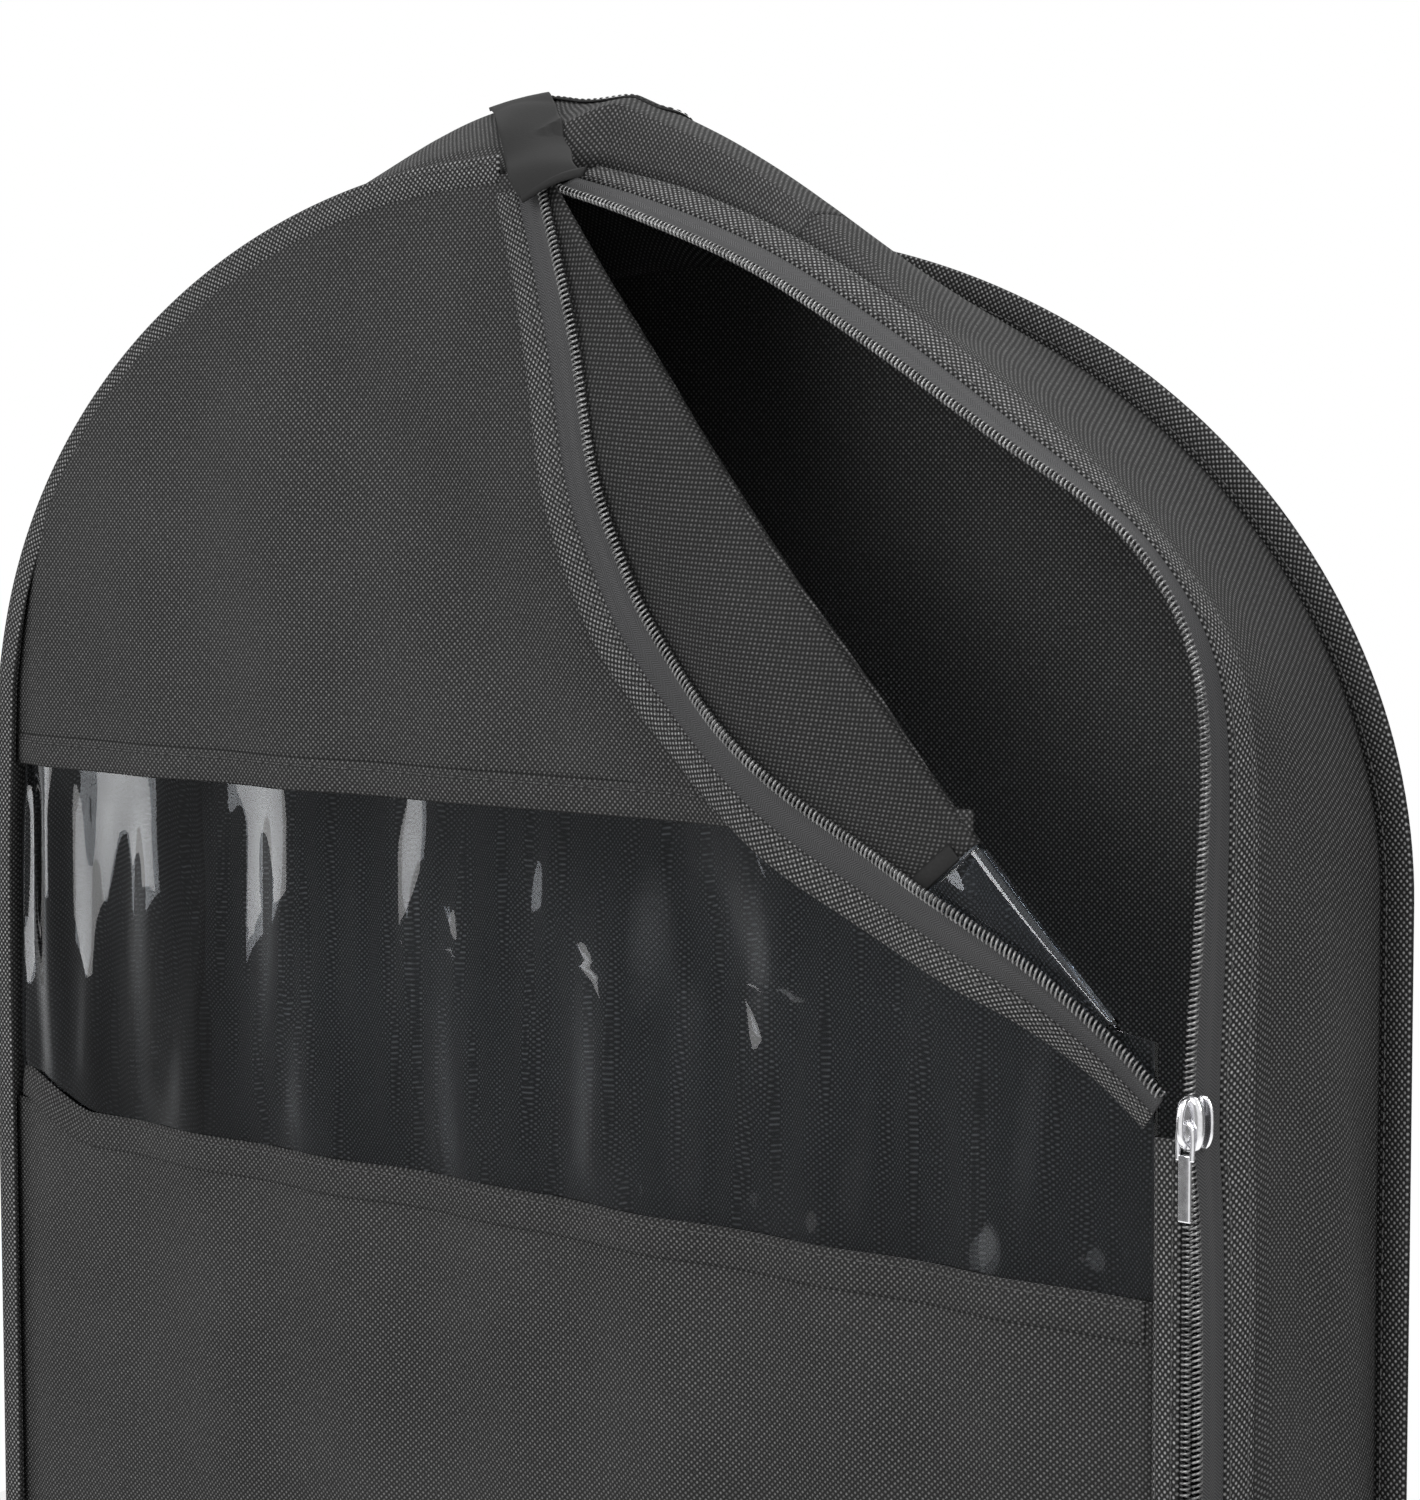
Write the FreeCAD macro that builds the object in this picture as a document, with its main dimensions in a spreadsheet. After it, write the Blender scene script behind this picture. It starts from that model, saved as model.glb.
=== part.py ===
import FreeCAD, Part
import math
import os

# Gusseted garment bag with a full-width clear window and a zip over the right shoulder.
# Millimetres. X to the viewer's right, front faces -Y, +Z up, origin on top of the hanger slot.

DIMS = [
    ("half_width", 305.0), ("rise", 215.0), ("shoulder_z", -243.0), ("bottom_z", -1100.0),
    ("half_depth", 51.0), ("skin", 1.0), ("flange", 12.0), ("flange_y", 49.8),
    ("top_half", 115.0), ("ridge_half", 45.0), ("ridge_flat", 12.0), ("tent_end_drop", 42.0),
    ("slot_half_x", 35.0), ("slot_half_y", 7.0), ("binding_rim", 4.0), ("binding_tall", 1.0),
    ("zip_setback", 13.0), ("tape_front", 2.0), ("zip_start_x", 22.0), ("coil_depth", 3.0),
    ("coil_gap", 1.4), ("tape_wide", 9.6), ("hem_wide", 10.0), ("hem_start_x", 118.0),
    ("fold_x0", 15.0), ("fold_z0", -29.0), ("fold_x1", 288.0), ("fold_z1", -321.0),
    ("fold_clear", 0.8), ("window_top", -256.0), ("window_foot", -396.0),
    ("top_hem_wide", 12.0), ("foot_hem_wide", 14.0), ("left_hem_wide", 9.0),
    ("closed_zip_top", -347.0), ("zip_foot", -1085.0), ("stop_tall", 4.0),
    ("tab_wide", 64.0), ("tab_deep", 50.0), ("tab_thick", 1.6), ("tab_angle", 37.9),
    ("flap_y", -53.4), ("strip_wide", 10.0), ("slider_z", -337.0), ("slider_half", 9.0),
    ("pull_long", 30.0), ("pull_wide", 7.6), ("pull_thick", 1.4), ("pin_radius", 0.9),
]
VALUE = dict(DIMS)
# Stations along the fold line and how far the folded-back flap reaches from it.
FLAP_EDGE = [(30.0, 36.0), (52.0, 62.0), (80.0, 84.0), (115.0, 95.0), (152.0, 98.0), (192.0, 93.0),
             (232.0, 81.0), (272.0, 61.0), (309.0, 42.0), (345.0, 24.0), (378.0, 8.0)]

doc = FreeCAD.newDocument("GarmentBag")
sheet = doc.addObject("Spreadsheet::Sheet", "Sizes")
for row, (name, value) in enumerate(DIMS, start=1):
    sheet.set("A%d" % row, name)
    sheet.set("B%d" % row, repr(value))
    sheet.setAlias("B%d" % row, name)
doc.recompute()


def size(name):
    return VALUE[name]


def point(x, y):
    return FreeCAD.Vector(x, y, 0)


def line(p, q):
    return Part.LineSegment(point(*p), point(*q))


def loop(points):
    return [line(points[i], points[(i + 1) % len(points)]) for i in range(len(points))]


def shoulder_z_at(x, offset=0.0):
    wide = size("half_width") + offset
    return size("shoulder_z") + (size("rise") + offset) * math.sqrt(1.0 - (x / wide) ** 2)


def shoulder_arc(offset, x_right, x_left):
    wide = size("half_width") + offset
    ellipse = Part.Ellipse(point(0, size("shoulder_z")), wide, size("rise") + offset)
    return Part.ArcOfEllipse(ellipse, math.acos(x_right / wide), math.acos(x_left / wide))


def outline(offset):
    wide = size("half_width") + offset
    low = size("bottom_z") - offset
    high = size("shoulder_z")
    return [shoulder_arc(offset, wide, -wide), line((-wide, high), (-wide, low)),
            line((-wide, low), (wide, low)), line((wide, low), (wide, high))]


def side_strip(side, outer, inner, x_top, z_end):
    """Closed loop of a strip that follows the shoulder from x_top and runs down one side."""
    wide_out = size("half_width") + outer
    wide_in = size("half_width") + inner
    high = size("shoulder_z")
    if side > 0:
        arcs = [shoulder_arc(outer, wide_out, x_top), shoulder_arc(inner, wide_in, x_top)]
    else:
        arcs = [shoulder_arc(outer, -x_top, -wide_out), shoulder_arc(inner, -x_top, -wide_in)]
    top_out = (side * x_top, shoulder_z_at(x_top, outer))
    top_in = (side * x_top, shoulder_z_at(x_top, inner))
    return arcs + [line(top_out, top_in),
                   line((side * wide_in, high), (side * wide_in, z_end)),
                   line((side * wide_in, z_end), (side * wide_out, z_end)),
                   line((side * wide_out, z_end), (side * wide_out, high))]


def origin_plane(body, role):
    return [f for f in body.Origin.OriginFeatures if f.Role == role][0]


def sketch_on(body, name, role, offset, expression, geometry):
    sketch = body.newObject("Sketcher::SketchObject", name)
    sketch.AttachmentSupport = (origin_plane(body, role), [""])
    sketch.MapMode = "FlatFace"
    sketch.AttachmentOffset = FreeCAD.Placement(FreeCAD.Vector(0, 0, offset), FreeCAD.Rotation())
    if expression:
        sketch.setExpression("AttachmentOffset.Base.z", expression)
    sketch.addGeometry(geometry, False)
    return sketch


def upright_pad(label, geometry, back, thick):
    """Pads an XZ outline forwards (-Y) from the plane y = back. Both are sheet expressions."""
    body = doc.addObject("PartDesign::Body", label)
    body.Label = label
    sketch = sketch_on(body, label + "_outline", "XZ_Plane", 0.0, "-(" + back + ")", geometry)
    doc.recompute()
    pad = body.newObject("PartDesign::Pad", label + "_pad")
    pad.Profile = sketch
    pad.setExpression("Length", thick)
    doc.recompute()
    return body


def box(label, base, lengths, angle=None):
    """Part::Box whose corner and lengths are sheet expressions."""
    made = doc.addObject("Part::Box", label)
    made.Label = label
    if angle:
        made.Placement.Rotation = FreeCAD.Rotation(FreeCAD.Vector(1, 0, 0), size(angle))
        made.setExpression("Placement.Rotation.Angle", "Sizes.%s * 1 deg" % angle)
    for axis, expression in zip("xyz", base):
        made.setExpression("Placement.Base." + axis, expression)
    for name, expression in zip(("Length", "Width", "Height"), lengths):
        made.setExpression(name, expression)
    return made


def cut(label, base, tool):
    made = doc.addObject("Part::Cut", label)
    made.Label = label
    made.Base = base
    made.Tool = tool
    return made


def fuse(label, shapes):
    made = doc.addObject("Part::MultiFuse", label)
    made.Label = label
    made.Shapes = shapes
    return made


FRONT = "-Sizes.half_depth"
TRIM = "-Sizes.half_depth - Sizes.skin"
SKIN = "Sizes.skin"
finished = []

# Back panel, flange binding and side gussets.
finished.append(upright_pad("back_panel", outline(size("flange")), "Sizes.half_depth + Sizes.skin", SKIN))
finished.append(upright_pad("back_binding", outline(size("flange")) + outline(0.0),
                            "Sizes.half_depth", "Sizes.half_depth - Sizes.flange_y"))
gusset_foot = size("bottom_z") + size("skin")
finished.append(upright_pad("left_gusset", side_strip(-1, 0.0, -size("skin"), size("top_half"), gusset_foot),
                            "Sizes.half_depth", "2 * Sizes.half_depth"))
finished.append(upright_pad("right_gusset", side_strip(1, 0.0, -size("skin"), size("top_half"), gusset_foot),
                            "Sizes.half_depth", "2 * Sizes.half_depth - Sizes.zip_setback"))
finished.append(box("bottom_gusset", ("-Sizes.half_width", FRONT, "Sizes.bottom_z"),
                    ("2 * Sizes.half_width", "2 * Sizes.half_depth", SKIN)))


def tent_section(x, ridge_z):
    """Cross-section of the tented top in the YZ plane."""
    side_z = shoulder_z_at(abs(x))
    flat = size("ridge_flat")
    front = -size("half_depth")
    back = size("flange_y") - 0.1
    skin = size("skin") + 0.3
    top = [(front, side_z), (-flat, ridge_z), (flat, ridge_z), (back, side_z)]
    under = [(y, z - skin) for y, z in reversed(top)]
    return loop(top + under)


def top_gusset():
    """Gusset drawn up to the hanger slot like a low tent."""
    body = doc.addObject("PartDesign::Body", "top_gusset")
    body.Label = "top_gusset"
    drop = -size("tent_end_drop")
    stations = [("-Sizes.top_half", -size("top_half"), drop), ("-Sizes.ridge_half", -size("ridge_half"), 0.0),
                ("Sizes.ridge_half", size("ridge_half"), 0.0), ("Sizes.top_half", size("top_half"), drop)]
    sections = []
    for number, (expression, x, ridge_z) in enumerate(stations):
        name = "tent_%d" % number
        sections.append(sketch_on(body, name, "YZ_Plane", x, expression, tent_section(x, ridge_z)))
    doc.recompute()
    loft = body.newObject("PartDesign::AdditiveLoft", "tent_loft")
    loft.Profile = sections[0]
    loft.Sections = sections[1:]
    loft.Ruled = True
    doc.recompute()
    half_x = size("slot_half_x")
    half_y = size("slot_half_y")
    slot = loop([(-half_x, -half_y), (half_x, -half_y), (half_x, half_y), (-half_x, half_y)])
    front = -size("half_depth")
    rear = front + size("zip_setback")
    recess = loop([(size("fold_x0"), front - 2), (size("top_half") + 2, front - 2),
                   (size("top_half") + 2, rear), (size("fold_x0"), rear)])
    for name, geometry in (("slot", slot), ("zip_recess", recess)):
        sketch = sketch_on(body, name + "_outline", "XY_Plane", 6.0, None, geometry)
        doc.recompute()
        pocket = body.newObject("PartDesign::Pocket", name)
        pocket.Profile = sketch
        pocket.Length = 80.0
        doc.recompute()
    return body


finished.append(top_gusset())
rim = box("binding_rim_block", ("-Sizes.slot_half_x - Sizes.binding_rim",
                                "-Sizes.slot_half_y - Sizes.binding_rim", "0"),
          ("2 * (Sizes.slot_half_x + Sizes.binding_rim)", "2 * (Sizes.slot_half_y + Sizes.binding_rim)",
           "Sizes.binding_tall"))
gap = box("binding_rim_gap", ("-Sizes.slot_half_x", "-Sizes.slot_half_y", "-1"),
          ("2 * Sizes.slot_half_x", "2 * Sizes.slot_half_y", "Sizes.binding_tall + 2"))
finished.append(cut("hanger_slot_binding", rim, gap))

# Front panels. The right-hand shoulder is open, up to the fold line of the flap.
slope = (size("fold_z1") - size("fold_z0")) / (size("fold_x1") - size("fold_x0"))


def fold_x_at(z):
    return size("fold_x0") + (z - size("fold_z0")) / slope - size("fold_clear") * 1.45


half = size("half_width")
start_x = size("fold_x0") - size("fold_clear") * 1.45
upper = [shoulder_arc(0.0, start_x, -half), line((-half, size("shoulder_z")), (-half, size("window_top"))),
         line((-half, size("window_top")), (fold_x_at(size("window_top")), size("window_top"))),
         line((fold_x_at(size("window_top")), size("window_top")), (start_x, shoulder_z_at(start_x)))]
finished.append(upright_pad("front_upper_panel", upper, FRONT, SKIN))
right = size("fold_x1")
film = loop([(-half, size("window_top")), (fold_x_at(size("window_top")), size("window_top")),
             (right, size("fold_z1") - 1.2), (right, size("window_foot")), (-half, size("window_foot"))])
finished.append(upright_pad("window_film", film, FRONT, SKIN))
finished.append(box("front_lower_panel", ("-Sizes.half_width", TRIM, "Sizes.bottom_z"),
                    ("Sizes.half_width + Sizes.fold_x1", SKIN, "Sizes.window_foot - Sizes.bottom_z")))
hem_left = "-Sizes.half_width + Sizes.left_hem_wide"
TRIM_FACE = "-Sizes.half_depth - 2 * Sizes.skin"
finished.append(box("window_top_hem", (hem_left, TRIM_FACE, "Sizes.window_top"),
                    ("Sizes.half_width - Sizes.left_hem_wide + 212", SKIN, "Sizes.top_hem_wide")))
finished.append(box("window_bottom_hem", (hem_left, TRIM_FACE, "Sizes.window_foot - Sizes.foot_hem_wide"),
                    ("Sizes.half_width - Sizes.left_hem_wide + Sizes.fold_x1 - Sizes.hem_wide", SKIN,
                     "Sizes.foot_hem_wide")))
finished.append(upright_pad("front_left_hem",
                            side_strip(-1, 0.0, -size("left_hem_wide"), 40.0,
                                       size("bottom_z") + size("left_hem_wide")),
                            TRIM, SKIN))
finished.append(box("front_bottom_hem", ("-Sizes.half_width", TRIM_FACE, "Sizes.bottom_z"),
                    ("Sizes.half_width + Sizes.fold_x1", SKIN, "Sizes.left_hem_wide")))

# Zip: the gusset half runs over the shoulder, the front half is closed below the slider.
coil_back = "-Sizes.half_depth + Sizes.tape_front"
finished.append(upright_pad("gusset_zip_tape",
                            side_strip(1, 0.0, -size("skin"), size("zip_start_x"), size("zip_foot")),
                            "-Sizes.half_depth + Sizes.zip_setback", "Sizes.zip_setback - Sizes.tape_front"))
finished.append(upright_pad("gusset_zip_hem",
                            side_strip(1, size("skin"), 0.0, size("hem_start_x"), size("zip_foot")),
                            "-Sizes.half_depth + Sizes.zip_setback + 8", "Sizes.hem_wide"))
finished.append(upright_pad("gusset_zip_coil",
                            side_strip(1, 0.0, -size("coil_depth"), size("zip_start_x"), size("zip_foot")),
                            coil_back, "Sizes.coil_depth"))
finished.append(box("front_zip_coil", ("Sizes.half_width - 2 * Sizes.coil_depth - Sizes.coil_gap",
                                       coil_back + " - Sizes.coil_depth", "Sizes.zip_foot"),
                    ("Sizes.coil_depth", "Sizes.coil_depth", "Sizes.closed_zip_top - Sizes.zip_foot")))
finished.append(box("front_zip_tape", ("Sizes.fold_x1", "-Sizes.half_depth - 0.7", "Sizes.zip_foot"),
                    ("Sizes.half_width - 2 * Sizes.coil_depth - Sizes.coil_gap - Sizes.fold_x1", "0.7",
                     "Sizes.closed_zip_top - Sizes.zip_foot")))
finished.append(box("front_zip_hem", ("Sizes.fold_x1 - Sizes.hem_wide", TRIM_FACE,
                                      "Sizes.bottom_z + Sizes.left_hem_wide"),
                    ("Sizes.hem_wide", SKIN,
                     "Sizes.closed_zip_top - Sizes.bottom_z - Sizes.left_hem_wide")))
finished.append(box("zip_top_stop", ("Sizes.zip_start_x - Sizes.stop_tall", "-Sizes.half_depth - 1.6", "-31.6"),
                    ("Sizes.stop_tall", "4", "3")))
finished.append(box("zip_bottom_stop", ("Sizes.half_width - 2 * Sizes.coil_depth - Sizes.coil_gap",
                                        "-Sizes.half_depth - 1.6", "Sizes.zip_foot - Sizes.stop_tall"),
                    ("2 * Sizes.coil_depth + Sizes.coil_gap", "4.4", "Sizes.stop_tall")))
finished.append(box("zip_top_tab", ("-34", "-59.5", "-32.5"),
                    ("Sizes.tab_wide", "Sizes.tab_deep", "Sizes.tab_thick"), "tab_angle"))

# Flap: the unzipped shoulder corner, folded outwards about the line fold_0 to fold_1.
run = math.hypot(size("fold_x1") - size("fold_x0"), size("fold_z1") - size("fold_z0"))
along = ((size("fold_x1") - size("fold_x0")) / run, (size("fold_z1") - size("fold_z0")) / run)
across = (along[1], -along[0])


def flap_point(station, reach):
    return (size("fold_x0") + along[0] * station + across[0] * reach,
            size("fold_z0") + along[1] * station + across[1] * reach)


def flap_strip(near, far):
    """Strip that follows the flap's turned-back edge, from near to far inside it."""
    stations = FLAP_EDGE[1:-2]
    outer = [flap_point(s, reach - near) for s, reach in stations]
    inner = [flap_point(s, reach - far) for s, reach in reversed(stations)]
    return loop(outer + inner)


SEAM_STATION = 309.0
fabric = [flap_point(FLAP_EDGE[0][0], 0.6)]
fabric += [flap_point(s, reach) for s, reach in FLAP_EDGE if s <= SEAM_STATION]
fabric += [flap_point(SEAM_STATION, 0.6)]
clear = [flap_point(SEAM_STATION, 0.6)]
clear += [flap_point(s, reach) for s, reach in FLAP_EDGE if s >= SEAM_STATION]
clear += [flap_point(FLAP_EDGE[-1][0], 0.6)]
finished.append(upright_pad("flap_panel", loop(fabric), "Sizes.flap_y", SKIN))
finished.append(upright_pad("flap_window_film", loop(clear), "Sizes.flap_y", SKIN))
strip = size("strip_wide")
finished.append(upright_pad("flap_hem", flap_strip(0.0, strip), "Sizes.flap_y - Sizes.skin", SKIN))
finished.append(upright_pad("flap_zip_tape", flap_strip(strip, 2 * strip), "Sizes.flap_y - Sizes.skin", "0.7"))
finished.append(upright_pad("flap_zip_coil", flap_strip(2 * strip, 2 * strip + size("coil_depth")),
                            "Sizes.flap_y - Sizes.skin", "Sizes.coil_depth"))

# Slider, straddling both coils, its arched bridge and the hinged pull.
middle = "Sizes.half_width - Sizes.coil_depth - Sizes.coil_gap / 2"
low = "Sizes.slider_z - Sizes.slider_half"
plate = box("slider_front_plate", (middle + " - 5.6", "-54.2", low), ("10.6", "1.8", "2 * Sizes.slider_half"))
rear = box("slider_rear_plate", (middle + " - 5.6", "-48.6", low), ("7.4", "1.2", "2 * Sizes.slider_half"))
wedge = box("slider_wedge", (middle + " - 0.4", "-52.5", "Sizes.slider_z + 2"), ("0.8", "4", "6"))
finished.append(fuse("slider_body", [plate, rear, wedge]))
arch = box("bridge_block", (middle + " - 0.9", "-59", "Sizes.slider_z - 7"), ("1.8", "4.8", "14"))
arch_gap = box("bridge_gap", (middle + " - 2", "-57.6", "Sizes.slider_z - 5"), ("4", "3.5", "10"))
finished.append(cut("slider_bridge", arch, arch_gap))
pin = doc.addObject("Part::Cylinder", "pull_pin")
pin.setExpression("Radius", "Sizes.pin_radius")
pin.setExpression("Height", "Sizes.pull_wide")
pin.Placement.Rotation = FreeCAD.Rotation(FreeCAD.Vector(0, 1, 0), 90)
pin.setExpression("Placement.Base.x", middle + " - Sizes.pull_wide / 2")
pin.setExpression("Placement.Base.y", "-56.1")
pin.setExpression("Placement.Base.z", "Sizes.slider_z")
leaf = box("pull_leaf", (middle + " - Sizes.pull_wide / 2", "-56.8", "Sizes.slider_z - Sizes.pull_long"),
           ("Sizes.pull_wide", "Sizes.pull_thick", "Sizes.pull_long"))
leaf_gap = box("pull_leaf_gap", (middle + " - 1.7", "-58", "Sizes.slider_z - 9"), ("3.4", "4", "12"))
finished.append(fuse("pull_tab", [pin, cut("pull_plate", leaf, leaf_gap)]))

doc.recompute()
os.makedirs("parts", exist_ok=True)
for made in doc.Objects:
    if "Invalid" in made.State or "Error" in made.State:
        raise RuntimeError("%s did not compute: %s" % (made.Name, made.State))
for made in finished:
    shape = made.Shape
    if shape.isNull() or not shape.isValid():
        raise RuntimeError("%s has no valid shape" % made.Label)
    shape.exportStep("parts/%s.step" % made.Label)
    print(made.Label, len(shape.Solids), round(shape.Volume))
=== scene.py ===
import math

import bpy
import numpy as np
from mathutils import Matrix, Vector


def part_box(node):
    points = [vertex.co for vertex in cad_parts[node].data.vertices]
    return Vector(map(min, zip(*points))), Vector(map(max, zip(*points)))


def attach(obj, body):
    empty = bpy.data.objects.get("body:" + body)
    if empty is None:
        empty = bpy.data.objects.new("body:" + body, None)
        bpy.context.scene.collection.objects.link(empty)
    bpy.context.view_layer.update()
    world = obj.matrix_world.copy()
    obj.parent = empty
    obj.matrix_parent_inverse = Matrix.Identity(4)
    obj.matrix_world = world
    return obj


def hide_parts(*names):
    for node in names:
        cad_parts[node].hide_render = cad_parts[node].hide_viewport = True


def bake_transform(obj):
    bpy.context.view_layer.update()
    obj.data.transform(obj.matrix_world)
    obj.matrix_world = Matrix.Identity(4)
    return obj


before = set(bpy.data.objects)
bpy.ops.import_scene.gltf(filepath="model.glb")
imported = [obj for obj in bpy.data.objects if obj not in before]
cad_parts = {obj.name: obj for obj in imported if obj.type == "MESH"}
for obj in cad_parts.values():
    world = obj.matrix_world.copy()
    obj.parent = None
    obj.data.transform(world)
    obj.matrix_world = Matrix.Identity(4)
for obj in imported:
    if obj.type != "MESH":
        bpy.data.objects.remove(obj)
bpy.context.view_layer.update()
MM = 0.001

# Driving sizes in millimetres, taken from the CAD frame where it has them.
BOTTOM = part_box("front_lower_panel")[0].z / MM
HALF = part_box("front_lower_panel")[0].x / -MM
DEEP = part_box("left_gusset")[1].y / MM
WINDOW_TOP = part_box("window_film")[1].z / MM
WINDOW_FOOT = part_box("window_film")[0].z / MM
FLANGE = 12.0
SHOULDER = -243.0
RISE = 215.0
BACK_SHOULDER = -276.0
BACK_RISE = 218.0
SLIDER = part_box("slider_body")
# The seen zip line stands this far to the right of the CAD one.
ZIP_SHIFT = 5.0
SLIDER_X = (SLIDER[0].x + SLIDER[1].x) / 2 / MM + ZIP_SHIFT
SLIDER_Z = (SLIDER[0].z + SLIDER[1].z) / 2 / MM
ZIP_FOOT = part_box("gusset_zip_coil")[0].z / MM
FOLD_START = np.array([15.0, -29.0])
FOLD_END = np.array([300.0, -333.0])
FOLD_RUN = float(np.linalg.norm(FOLD_END - FOLD_START))
ALONG = (FOLD_END - FOLD_START) / FOLD_RUN
ACROSS = np.array([ALONG[1], -ALONG[0]])
FRONT_Y = -52.0


# ---------------------------------------------------------------- numbers
def smooth_curve(points, count):
    """Catmull-Rom curve through points, resampled evenly by length."""
    p = np.array(points, float)
    p = np.vstack([2 * p[0] - p[1], p, 2 * p[-1] - p[-2]])
    out = []
    for i in range(1, len(p) - 2):
        t = np.linspace(0, 1, 40, endpoint=False)[:, None]
        a, b, c, d = p[i - 1], p[i], p[i + 1], p[i + 2]
        out.append(0.5 * (2 * b + (c - a) * t + (2 * a - 5 * b + 4 * c - d) * t**2
                          + (3 * b - a - 3 * c + d) * t**3))
    out.append(p[-2][None])
    return resample(np.vstack(out), count)


def lengths(path):
    return np.concatenate([[0.0], np.cumsum(np.linalg.norm(np.diff(path, axis=0), axis=1))])


def resample(path, count):
    run = lengths(path)
    at = np.linspace(0, run[-1], count)
    return np.stack([np.interp(at, run, path[:, k]) for k in range(path.shape[1])], axis=1)


def step(x, low, high):
    t = np.clip((x - low) / (high - low), 0, 1)
    return t * t * (3 - 2 * t)


def waves(x, z, seeds, size, slant):
    """Soft, mostly vertical folds: a few slanted sines with slowly changing strength."""
    total = np.zeros_like(x)
    for k, period in enumerate(seeds):
        phase = 1.7 * k * k + 0.6
        total += np.sin(2 * math.pi * (x + slant * z * (1 + 0.3 * k)) / period + phase) \
            * (0.6 + 0.4 * np.sin(z / (90.0 + 31 * k) + 2.1 * k))
    return size * total / len(seeds)


# ---------------------------------------------------------------- materials
def new_material(name, rough, metallic=0.0):
    mat = bpy.data.materials.new(name)
    mat.use_nodes = True
    shader = mat.node_tree.nodes["Principled BSDF"]
    shader.inputs["Roughness"].default_value = rough
    shader.inputs["Metallic"].default_value = metallic
    return mat, mat.node_tree.nodes, mat.node_tree.links, shader


def math_node(nodes, links, kind, a, b=None, c=None):
    node = nodes.new("ShaderNodeMath")
    node.operation = kind
    for slot, value in zip(node.inputs, (a, b, c)):
        if value is None:
            continue
        if isinstance(value, (int, float)):
            slot.default_value = value
        else:
            links.new(value, slot)
    return node.outputs[0]


def ramp(nodes, links, source, stops):
    node = nodes.new("ShaderNodeValToRGB")
    elements = node.color_ramp.elements
    elements[0].position, elements[0].color = stops[0]
    elements[1].position, elements[1].color = stops[-1]
    for position, colour in stops[1:-1]:
        elements.new(position).color = colour
    links.new(source, node.inputs[0])
    return node.outputs[0]


def grey(v, tint=0.0):
    return (v, v, v * (1 + tint), 1.0)


def add_bump(nodes, links, shader, height, strength, distance):
    bump = nodes.new("ShaderNodeBump")
    bump.inputs["Strength"].default_value = strength
    bump.inputs["Distance"].default_value = distance
    links.new(height, bump.inputs["Height"])
    links.new(bump.outputs["Normal"], shader.inputs["Normal"])


def uv_parts(nodes, links):
    uv = nodes.new("ShaderNodeUVMap")
    uv.uv_map = "UVMap"
    split = nodes.new("ShaderNodeSeparateXYZ")
    links.new(uv.outputs["UV"], split.inputs[0])
    return uv.outputs["UV"], split.outputs["X"], split.outputs["Y"]


def lattice(nodes, links, u, v, wide, tall):
    """1 at the centre of each embossed dot, 0 between: two rectangular lattices half a step apart."""
    best = None
    for shift in (0.0, 0.5):
        offsets = []
        for coordinate, pitch in ((u, wide), (v, tall)):
            scaled = math_node(nodes, links, "MULTIPLY_ADD", coordinate, 1 / pitch, shift + 100)
            part = math_node(nodes, links, "FRACT", scaled)
            offsets.append(math_node(nodes, links, "SUBTRACT", part, 0.5))
        square = math_node(nodes, links, "MULTIPLY", offsets[1], offsets[1])
        distance = math_node(nodes, links, "MULTIPLY_ADD", offsets[0], offsets[0], square)
        distance = math_node(nodes, links, "SQRT", distance)
        best = distance if best is None else math_node(nodes, links, "MINIMUM", best, distance)
    height = math_node(nodes, links, "MULTIPLY_ADD", best, -3.6, 1.0)
    return math_node(nodes, links, "SMOOTH_MAX", height, 0.0, 0.1)


def nonwoven(name, base, dot, dot_strength=1.0):
    """Black spun-bonded fabric with its lattice of bright embossed dots and fine matted fibres."""
    mat, nodes, links, shader = new_material(name, 0.72)
    uv, u, v = uv_parts(nodes, links)
    dots = lattice(nodes, links, u, v, 0.0025, 0.00225)
    patches = nodes.new("ShaderNodeTexNoise")
    patches.inputs["Scale"].default_value = 16.0
    patches.inputs["Detail"].default_value = 4.0
    links.new(uv, patches.inputs["Vector"])
    fibres = nodes.new("ShaderNodeTexNoise")
    fibres.inputs["Scale"].default_value = 2600.0
    fibres.inputs["Detail"].default_value = 3.0
    links.new(uv, fibres.inputs["Vector"])
    speckle = nodes.new("ShaderNodeTexNoise")
    speckle.inputs["Scale"].default_value = 700.0
    links.new(uv, speckle.inputs["Vector"])
    glint = math_node(nodes, links, "MULTIPLY_ADD", speckle.outputs["Fac"], 1.5, -0.2)
    masked = math_node(nodes, links, "MULTIPLY", dots, glint)
    masked = math_node(nodes, links, "MULTIPLY", masked, dot_strength)
    masked = math_node(nodes, links, "MINIMUM", masked, 1.0)
    ground = ramp(nodes, links, patches.outputs["Fac"], [(0.3, grey(base * 0.75)), (0.7, grey(base * 1.25))])
    mix = nodes.new("ShaderNodeMix")
    mix.data_type = "RGBA"
    links.new(masked, mix.inputs["Factor"])
    links.new(ground, mix.inputs["A"])
    mix.inputs["B"].default_value = grey(dot)
    links.new(mix.outputs["Result"], shader.inputs["Base Color"])
    rough = math_node(nodes, links, "MULTIPLY_ADD", masked, -0.30, 0.74)
    links.new(rough, shader.inputs["Roughness"])
    height = math_node(nodes, links, "MULTIPLY_ADD", fibres.outputs["Fac"], 0.35, dots)
    add_bump(nodes, links, shader, height, 0.55, 0.0003)
    shader.inputs["Specular IOR Level"].default_value = 0.14
    return mat


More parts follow.
